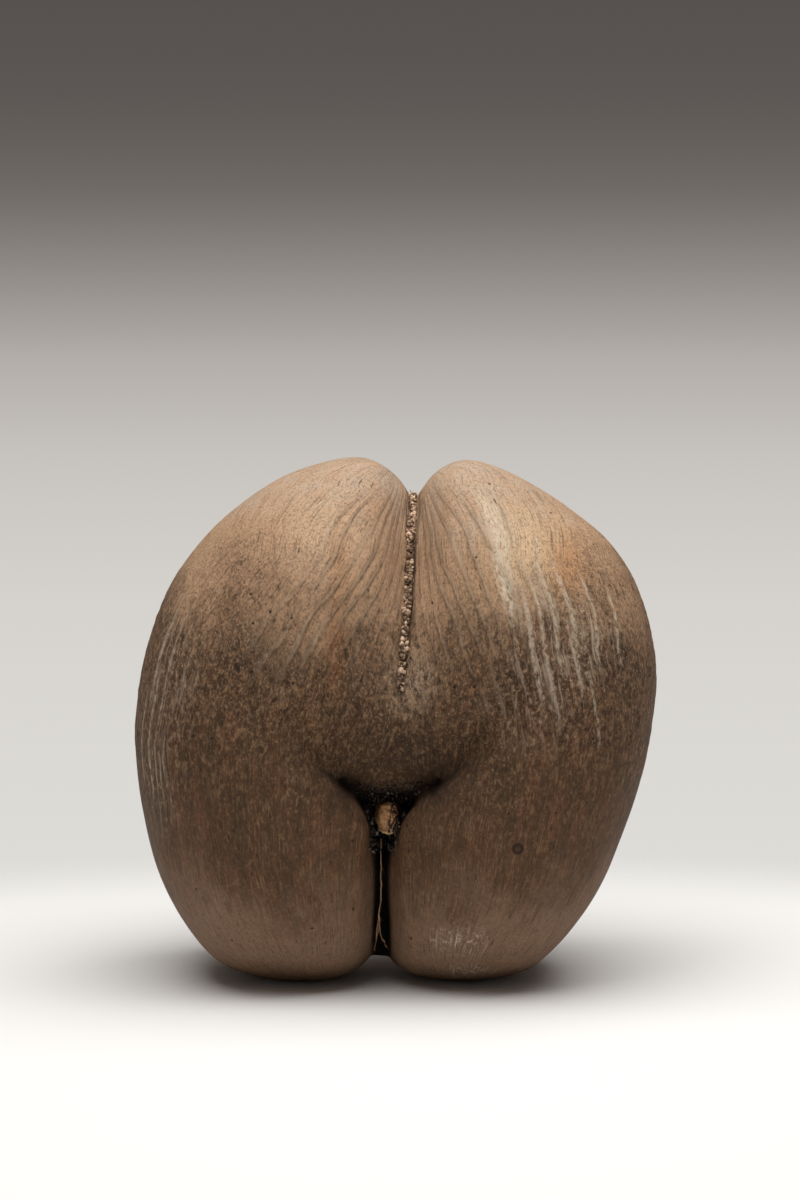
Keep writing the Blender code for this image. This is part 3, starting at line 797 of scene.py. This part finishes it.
def drift(geometry, size, amount):
    """Bends the geometry by soft noise whose lumps have this size, by this amount."""
    position = add(geometry.tree, "GeometryNodeInputPosition")
    wind = position.noise((size,) * 3, 2, output="Color")
    return shifted(geometry, wind.vector("SUBTRACT", (0.5, 0.5, 0.5)).stretched(amount * 4))


def spaced_points(line, count):
    """Points at even steps along the line, and the line's direction there."""
    inputs = {"Curve": line, "Count": count}
    return add(line.tree, "GeometryNodeCurveToPoints", inputs, ("Points", "Tangent"), mode="COUNT")


def sown_points(surface, density, seed):
    """Points strewn over the surface, and the surface's normal there."""
    inputs = {"Mesh": surface, "Density": density, "Seed": seed}
    return add(surface.tree, "GeometryNodeDistributePointsOnFaces", inputs, ("Points", "Normal"))


def scattered(points, shape, seed, scale, turn=None, chosen=True):
    """The shape on each chosen point, turned and sized by its own draw, which is kept as its shade."""
    tree = points.tree
    inputs = {"Points": points, "Instance": shape, "Scale": scale, "Selection": chosen}
    inputs["Rotation"] = turn or draw(tree, (-HALF_TURN,) * 3, (HALF_TURN,) * 3, seed)
    shapes = add(tree, "GeometryNodeInstanceOnPoints", inputs)
    return keep_field(shapes, "shade", draw(tree, 0.0, 1.0, seed + 1), "INSTANCE")


def leaning(direction, seed, spread):
    """A turn from upright towards the direction, off it by up to the spread."""
    aim = direction.vector("ADD", draw(direction.tree, (-spread,) * 3, (spread,) * 3, seed))
    return add(aim.tree, "FunctionNodeAlignRotationToVector", {"Vector": aim}, axis="Z")


def hair(tree, length, thickness, segments):
    """A tapered hair that stands on its root, with four sides."""
    sizes = {"Vertices": 4, "Side Segments": segments, "Radius Top": thickness * 0.2}
    sizes |= {"Radius Bottom": thickness, "Depth": length}
    return add(tree, "GeometryNodeMeshCone", sizes)


def lump(tree, radius):
    return add(tree, "GeometryNodeMeshIcoSphere", {"Radius": radius, "Subdivisions": 1})


def together(*parts):
    tree = parts[0].tree
    node = tree.nodes.new("GeometryNodeJoinGeometry")
    for part in parts:
        part.to(node.inputs[0])
    return Term(tree, node.outputs[0])


SHELL_SIZES = {
    "Ridge Spacing": 0.0052,
    "Ridge Height": 0.0008,
    "Ridge Slant": 0.2,
    "Pit Size": 0.0065,
    "Pit Depth": 0.0009,
    "Grain Height": 0.0013,
    "Swell Height": 0.0024,
}
# How far from the seam the ridges have doubled their spacing, and the height from which they slant.
RIDGES_WIDEN = 0.04
RIDGES_FROM = 0.26


def shell_relief(material):
    """Ridges that fan from the crowns, pits and grain at mid height, and slow swells."""
    tree, given = new_tree("shell relief", SHELL_SIZES)
    position = add(tree, "GeometryNodeInputPosition")
    normal = add(tree, "GeometryNodeInputNormal")
    kept = "GeometryNodeInputNamedAttribute"
    grain = add(tree, kept, {"Name": "grain"}, "Attribute", data_type="FLOAT_VECTOR")
    across, height, _ = grain.split()

    away = abs(across)
    slanted = (height - RIDGES_FROM) * given["Ridge Slant"] + away
    slanted = slanted.calc("MAXIMUM", -0.8 * RIDGES_WIDEN)
    count = (slanted * (1 / RIDGES_WIDEN) + 1).calc("LOGARITHM", math.e)
    fold = count * (RIDGES_WIDEN / given["Ridge Spacing"])
    fold = grain.noise((0.03, 0.13, 1), 1) * 2 + fold
    fold = grain.noise((0.009, 0.04, 1), 2) * 1.1 + fold
    rise = fold.calc("PINGPONG", 0.5)
    patch = position.noise((0.028, 0.028, 0.035), 2)
    spread = (patch - 0.5) * 0.07 + height
    broken = grain.noise((0.011, 0.045, 1), 2)
    ridged = spread.ease(0.155, 0.21) * away.ease(0.1, 0.05) * height.ease(0.29, 0.266)
    ridged = ridged * broken.ease(0.3, 0.55, 0.3, 1)
    hill = (rise.ease(0, 0.35) - 1) * ridged * away.ease(0.016, 0.04)

    middle = height.ease(0.265, 0.215) * height.ease(0.1, 0.16)
    pits, drawn = position.stretched(1 / given["Pit Size"]).cells()
    pit = pits.ease(0.36, 0.1) * drawn.ease(0.55, 0.85) * (middle * 0.9 + 0.1)
    rough = (position.noise((0.0048, 0.0048, 0.0062), 2, 0.55) - 0.5) * (middle * 0.85 + 0.15)
    swell = position.noise((0.05, 0.05, 0.06), 1) - 0.5

    lift = hill * given["Ridge Height"]
    lift = pit * -1 * given["Pit Depth"] + lift
    lift = rough * given["Grain Height"] + lift
    lift = swell * given["Swell Height"] + lift
    lift = lift * height.ease(0.002, 0.02)
    shell = given["Geometry"]
    for name, value in (("pit", pit), ("fold", fold), ("ridged", ridged)):
        shell = keep_field(shell, name, value)
    end_tree(shifted(shell, normal.stretched(lift)), material)
    return tree


def make_shell():
    bodies = [lobe_mesh(name, lobe) for name, lobe in LOBES.items()]
    bodies += [bridge_mesh(name, bridge) for name, bridge in BRIDGES.items()]
    skin = melted(joined("shell", bodies), SHELL_VOXEL, MELT_STEPS)
    sink_belly(skin)
    for stroke in STROKES:
        press(skin, *stroke)
    skin = melted(skin, SHELL_VOXEL, MELT_STEPS // 3)
    points = points_of(skin)
    x, z = points[:, 0], points[:, 2]
    floor = FLAT_FOOT + max(z[lobe["side"] * (x - midline(z)) > 0].min() for lobe in LOBES.values())
    points[:, 2] = np.maximum(z, floor)
    grain, recess, groin = grain_of(points), recess_of(points), groin_of(points)
    low, high = points.min(axis=0), points.max(axis=0)
    points -= [(low[0] + high[0]) / 2, (low[1] + high[1]) / 2, floor]
    set_points(skin, points * MM)
    keep(skin, "grain", grain * MM)
    keep(skin, "recess", recess)
    keep(skin, "groin", groin)
    keep(skin, "hollow", smoothstep(*HOLLOW_LIFT, hollow_of(skin, HOLLOW_REACH)))
    return grown("shell", skin, shell_relief(shell_material()), SHELL_SIZES, "nut")


def path_mesh(name, paths):
    """Wire meshes through the points of each path, in metres."""
    wire = bmesh.new()
    for path in paths:
        corners = [wire.verts.new(Vector(point) * MM) for point in path]
        for first, second in zip(corners, corners[1:]):
            wire.edges.new((first, second))
    return meshed(name, wire)


def seam_path(shell):
    """Points along the bottom of the seam, in millimetres, found by rays from well outside."""
    tree = BVHTree.FromPolygons(
        [vertex.co for vertex in shell.data.vertices],
        [face.vertices for face in shell.data.polygons],
    )
    path = []
    for angle in np.radians(np.linspace(*SEAM_ANGLES, SEAM_STEPS)):
        outwards = Vector((0, math.cos(angle), math.sin(angle)))
        height = SEAM_CENTRE_Z
        for _ in range(3):
            inside = Vector((midline(height), 0, SEAM_CENTRE_Z))
            spot = tree.ray_cast((inside + outwards * WELL_OUTSIDE) * MM, -outwards)[0] / MM
            height = spot.z
        path.append(spot + outwards * HUSK_LIFT)
    return path


HUSK_SIZES = {"Crumbs": 3600, "Crumb Size": 0.00095, "Spread": 0.0016, "Hairs": 420, "Hair Length": 0.006}


def husk_tree(material):
    """Crumbs and short hairs of husk that lie in clumps along the seam."""
    tree, given = new_tree("husk in the seam", HUSK_SIZES)
    line = add(tree, "GeometryNodeMeshToCurve", {0: given["Geometry"]})
    crumb_points, _ = spaced_points(line, given["Crumbs"])
    position = add(tree, "GeometryNodeInputPosition")
    clumps = position.noise((0.2, 0.2, 0.0075), 3, 0.6)
    kept = above(clumps, 0.34, 0.56, 3)
    thin_out = above(position.split()[2], 0.165, 0.21, 4)
    chosen = add(tree, "FunctionNodeBooleanMath", {0: kept, 1: thin_out})
    points = shifted(crumb_points, draw(tree, (-1, -0.4, -1), (1, 0.3, 1), 5).stretched(given["Spread"]))
    size = draw(tree, 0.0, 1.0, 6).ease(0.2, 1, 0.35, 1.5) * clumps.ease(0.35, 0.6, 0.6, 1.15)
    size = draw(tree, (0.4, 0.4, 0.4), (1.3, 1.3, 1.3), 7).stretched(size)
    crumbs = scattered(points, lump(tree, given["Crumb Size"]), 8, size, None, chosen)
    hair_points, tangent = spaced_points(line, given["Hairs"])
    stray = draw(tree, (-1.2, -0.1, -1), (1.2, 0.1, 1), 15).stretched(given["Spread"])
    turn = leaning(tangent, 16, 0.45)
    strand = hair(tree, given["Hair Length"], 0.00016, 5)
    hairs = scattered(shifted(hair_points, stray), strand, 18, draw(tree, 0.4, 1.2, 19), turn, thin_out)
    hairs = drift(realized(hairs), 0.003, 0.0007)
    end_tree(together(drift(realized(crumbs), 0.001, 0.0008), hairs), material)
    return tree


def make_husk(shell):
    wire = path_mesh("seam line", [seam_path(shell)])
    material = strand_material("husk crumbs", srgb(96, 70, 50), srgb(222, 192, 162), 0.9)
    grown("husk", wire, husk_tree(material), HUSK_SIZES, "seam_husk")


# The corners of the box round the germ pore in which the shell is lined.
LINING_BOX = ((-25, -64, 83), (18, -30, 124))


def lining_width(height):
    return np.interp(height, BELLY_Z, BELLY_HALF_WIDTH) + 1


def lining_mesh(shell):
    """The shell's own faces round the plug, on which the dark fibres stand."""
    cage = bmesh.new()
    cage.from_mesh(shell.data)
    low, high = (Vector(corner) * MM for corner in LINING_BOX)
    far = []
    for face in cage.faces:
        spot = face.calc_center_median()
        inside = all(a < b < c for a, b, c in zip(low, spot, high))
        if not inside or abs(spot.x / MM - midline(spot.z / MM)) > lining_width(spot.z / MM):
            far.append(face)
    bmesh.ops.delete(cage, geom=far, context="FACES")
    mesh = meshed("pore lining", cage)
    for name in ("grain", "recess", "groin", "hollow", "pit", "fold", "ridged"):
        mesh.attributes.remove(mesh.attributes[name])
    return mesh


TUFT_SIZES = {
    "Hairs per Square Metre": 620000.0,
    "Hair Length": 0.0075,
    "Lumps per Square Metre": 160000.0,
}


def tuft_tree(material):
    """Dark curled hairs and lumps that line the germ pore."""
    tree, given = new_tree("fibres of the germ pore", TUFT_SIZES)
    lining = given["Geometry"]
    roots, normal = sown_points(lining, given["Hairs per Square Metre"], 3)
    turn = leaning(normal, 5, 0.6)
    _, y, z = add(tree, "GeometryNodeInputPosition").split()
    short = y.ease(-0.061, -0.044, 0.15, 1) * z.ease(0.084, 0.104, 0.2, 1)
    size = draw(tree, 0.35, 1.1, 8) * short
    hairs = scattered(roots, hair(tree, given["Hair Length"], 0.00032, 6), 7, size, turn)
    hairs = drift(realized(hairs), 0.0022, 0.0011)
    beds, normal = sown_points(lining, given["Lumps per Square Metre"], 13)
    lifted = shifted(beds, normal.stretched(draw(tree, 0.0002, 0.0035, 14)))
    size = draw(tree, (0.3, 0.3, 0.3), (1.1, 1.1, 1.1), 18)
    lumps = drift(realized(scattered(lifted, lump(tree, 0.001), 17, size)), 0.0008, 0.0004)
    end_tree(together(hairs, lumps), material)
    return tree


def make_tuft(shell):
    # The lightest hairs and lumps turn grey-brown: painted highlight for the glints among the dark fibres.
    material = strand_material("dark fibre", srgb(15, 11, 8), srgb(104, 90, 78), 0.4, ease_from=0.76)
    grown("tuft", lining_mesh(shell), tuft_tree(material), TUFT_SIZES, "pore_fibres")


THREAD_SIZES = {"Thread Radius": 0.00034, "Side Threads": 14, "Side Thread Length": 0.007}


def thread_tree(material):
    """The long pale threads of the slit, with a few finer ones that part from them."""
    tree, given = new_tree("threads in the slit", THREAD_SIZES)
    line = add(tree, "GeometryNodeMeshToCurve", {0: given["Geometry"]})
    line = add(tree, "GeometryNodeResampleCurve", {"Curve": line, "Count": 60})
    along = add(tree, "GeometryNodeSplineParameter", output="Factor")
    girth = given["Thread Radius"] * along.ease(0, 1, 1.25, 0.5)
    ring = add(tree, "GeometryNodeCurvePrimitiveCircle", {"Resolution": 6, "Radius": 1})
    tube = {"Curve": line, "Profile Curve": ring, "Scale": girth, "Fill Caps": True}
    thread = drift(add(tree, "GeometryNodeCurveToMesh", tube), 0.006, 0.0005)
    thread = keep_field(thread, "shade", 0.6)
    starts, tangent = spaced_points(line, given["Side Threads"])
    turn = leaning(tangent.vector("ADD", (0, -0.1, -0.3)), 20, 0.35)
    strand = hair(tree, given["Side Thread Length"], 0.00013, 5)
    sides = scattered(starts, strand, 21, draw(tree, 0.4, 1.2, 22), turn)
    end_tree(together(thread, drift(realized(sides), 0.003, 0.0006)), material)
    return tree


def make_threads():
    wire = path_mesh("thread lines", [smooth_path(path, 4) for path in FIBRES])
    material = strand_material("pale fibre", srgb(112, 76, 48), srgb(196, 154, 112), 0.6)
    grown("threads", wire, thread_tree(material), THREAD_SIZES, "slit_fibres")


PLUG_SIZES = {"Crack Depth": 0.0014, "Fold Depth": 0.0011, "Grain Height": 0.0007}
PLUG_VOXEL = 0.00035
PLUG_MELT_STEPS = 3


def plug_tree(material):
    """Cracks over the cork, and the frayed folds at its lower end."""
    tree, given = new_tree("cork of the plug", PLUG_SIZES)
    position = add(tree, "GeometryNodeInputPosition")
    normal = add(tree, "GeometryNodeInputNormal")
    x, _, z = position.split()
    bent = position.noise((0.003, 0.003, 0.003), 3, 0.6)
    place = position.counted(0.0042, 0.0042, 0.0062).vector("ADD", bent)
    inputs = {"Vector": place, "Scale": 1}
    edges = add(tree, "ShaderNodeTexVoronoi", inputs, "Distance", feature="DISTANCE_TO_EDGE")
    crack = edges.ease(0.16, 0.02) * (x.ease(-0.0065, 0.0, 0.15, 1) * z.ease(0.105, 0.096, 0.6, 1))
    frayed = z.ease(0.0975, 0.0945)
    fold = (bent * 1.4 + z / 0.0019).calc("PINGPONG", 0.5)
    fold = fold.ease(0, 0.5, -1, 0.6) * frayed
    lift = crack * -1 * given["Crack Depth"]
    lift = fold * given["Fold Depth"] + lift
    lift = (bent - 0.5) * given["Grain Height"] + lift
    plug = keep_field(given["Geometry"], "crack", crack)
    plug = keep_field(plug, "frayed", frayed * fold.ease(-0.2, 0.5))
    end_tree(shifted(plug, normal.stretched(lift)), material)
    return tree


def plug_material():
    material, tree, shader, position = new_material("plug cork")
    lumps = position.noise((0.0022, 0.0022, 0.0022), 5, 0.65)
    fine = position.noise((0.0006, 0.0006, 0.0009), 3, 0.6)
    colour = tint(lumps.ease(0.35, 0.65), srgb(150, 103, 66), srgb(196, 148, 102))
    colour = tint(field(tree, "frayed"), colour, srgb(226, 190, 142))
    colour = tint(fine.ease(0.5, 0.35) * 0.5, colour, srgb(84, 54, 34))
    colour = tint(field(tree, "crack").ease(0.05, 0.5), colour, srgb(42, 26, 17))
    colour.to(shader.inputs["Base Color"])
    shader.inputs["Roughness"].default_value = 0.8
    bump(shader, (lumps, 0.0005), (fine, 0.0002))
    return material


def make_plug():
    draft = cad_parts["germ_plug"].data.copy()
    draft.materials.clear()
    body = melted(draft, PLUG_VOXEL, PLUG_MELT_STEPS)
    grown("plug", body, plug_tree(plug_material()), PLUG_SIZES, "germ_plug")


def strand_material(name, dark, light, roughness, ease_from=0.25):
    """One finish for loose stuff: each strand or crumb has its own shade between dark and light."""
    material, tree, shader, position = new_material(name)
    lumps = position.noise((0.0012, 0.0012, 0.0012), 4, 0.65)
    shade = (lumps - 0.5) * 0.8 + field(tree, "shade")
    tint(shade.ease(ease_from, 1), dark, light).to(shader.inputs["Base Color"])
    shader.inputs["Roughness"].default_value = roughness
    bump(shader, (lumps, 0.0003))
    return material


# The dim room on the camera's side.
ROOM = (104, 100, 97)

# The backdrop's colour by how far up it is looked at, as the sine of the angle.
SKY = (
    (-0.45, (226, 224, 220)),
    (-0.20, (223, 221, 217)),
    (-0.105, (214, 211, 206)),
    (-0.055, (200, 196, 191)),
    (-0.02, (178, 173, 168)),
    (0.0, (157, 151, 146)),
    (0.02, (133, 127, 123)),
    (0.04, (110, 104, 100)),
    (0.07, (91, 86, 83)),
    (0.11, (86, 81, 79)),
    (0.3, (80, 76, 74)),
)


def backdrop():
    """Studio light: pale at the floor's level and dark above, with a dim room behind the camera."""
    world = bpy.data.worlds.new("studio")
    bpy.context.scene.world = world
    world.use_nodes = True
    tree = world.node_tree
    _, forwards, upwards = add(tree, "ShaderNodeTexCoord", output="Generated").split()
    lowest, highest = SKY[0][0], SKY[-1][0]
    inputs = {"Value": upwards, "From Min": lowest, "From Max": highest}
    ramp = add(tree, "ShaderNodeValToRGB", {0: add(tree, "ShaderNodeMapRange", inputs)})
    stops = ramp.socket.node.color_ramp
    stops.interpolation = "B_SPLINE"
    while len(stops.elements) < len(SKY):
        stops.elements.new(1)
    for stop, (level, colour) in zip(stops.elements, SKY):
        stop.position = (level - lowest) / (highest - lowest)
        stop.color = srgb(*colour)
    colour = tint(forwards.ease(-0.45, 0.4), srgb(*ROOM), ramp)
    colour.to(tree.nodes["Background"].inputs["Color"])


LAMP_PLACE = Vector((0.05, -0.2, 1.35))
LAMP_AIM = Vector((0, -0.08, 0.05))
LAMP_SIZE = (1.7, 1.1)
LAMP_POWER = 27.5
LAMP_COLOUR = (1, 0.985, 0.965)


def hang_lamp():
    """One broad lamp overhead."""
    light = bpy.data.lights.new("overhead", "AREA")
    light.shape = "RECTANGLE"
    light.size, light.size_y = LAMP_SIZE
    light.energy = LAMP_POWER
    light.color = LAMP_COLOUR
    holder = placed("overhead", light)
    holder.location = LAMP_PLACE
    holder.rotation_euler = (LAMP_AIM - LAMP_PLACE).to_track_quat("-Z", "Y").to_euler()


FLOOR_CENTRE = (0, -0.85, 0)
FLOOR_RADIUS = 1.24
FLOOR_FADE = 0.2


def floor_material():
    """White paper on a table; its far edge is out of focus, so it fades into the backdrop."""
    material, _, shader, position = new_material("studio floor")
    away = position.vector("DISTANCE", FLOOR_CENTRE, "Value")
    away.ease(FLOOR_RADIUS, FLOOR_RADIUS - FLOOR_FADE).to(shader.inputs["Alpha"])
    shader.inputs["Base Color"].default_value = (0.88, 0.88, 0.87, 1)
    shader.inputs["Roughness"].default_value = 0.9
    return material


def make_floor():
    cage = bmesh.new()
    bmesh.ops.create_circle(cage, cap_ends=True, segments=96, radius=FLOOR_RADIUS)
    bmesh.ops.translate(cage, vec=FLOOR_CENTRE, verts=cage.verts)
    mesh = meshed("floor", cage)
    mesh.materials.append(floor_material())
    placed("floor", mesh)


def place_camera():
    data = bpy.data.cameras.new("camera")
    data.lens = LENS
    data.sensor_fit = "VERTICAL"
    data.sensor_height = LONG_SIDE
    camera = placed("camera", data)
    back = Vector((0, -math.cos(CAMERA_RISE), math.sin(CAMERA_RISE)))
    camera.location = AIM + back * CAMERA_DISTANCE
    camera.rotation_euler = (-back).to_track_quat("-Z", "Y").to_euler()
    bpy.context.scene.camera = camera


place_camera()
backdrop()
bpy.context.scene.view_settings.view_transform = "Standard"
hang_lamp()
make_floor()
shell = make_shell()
make_plug()
make_tuft(shell)
make_threads()
make_husk(shell)
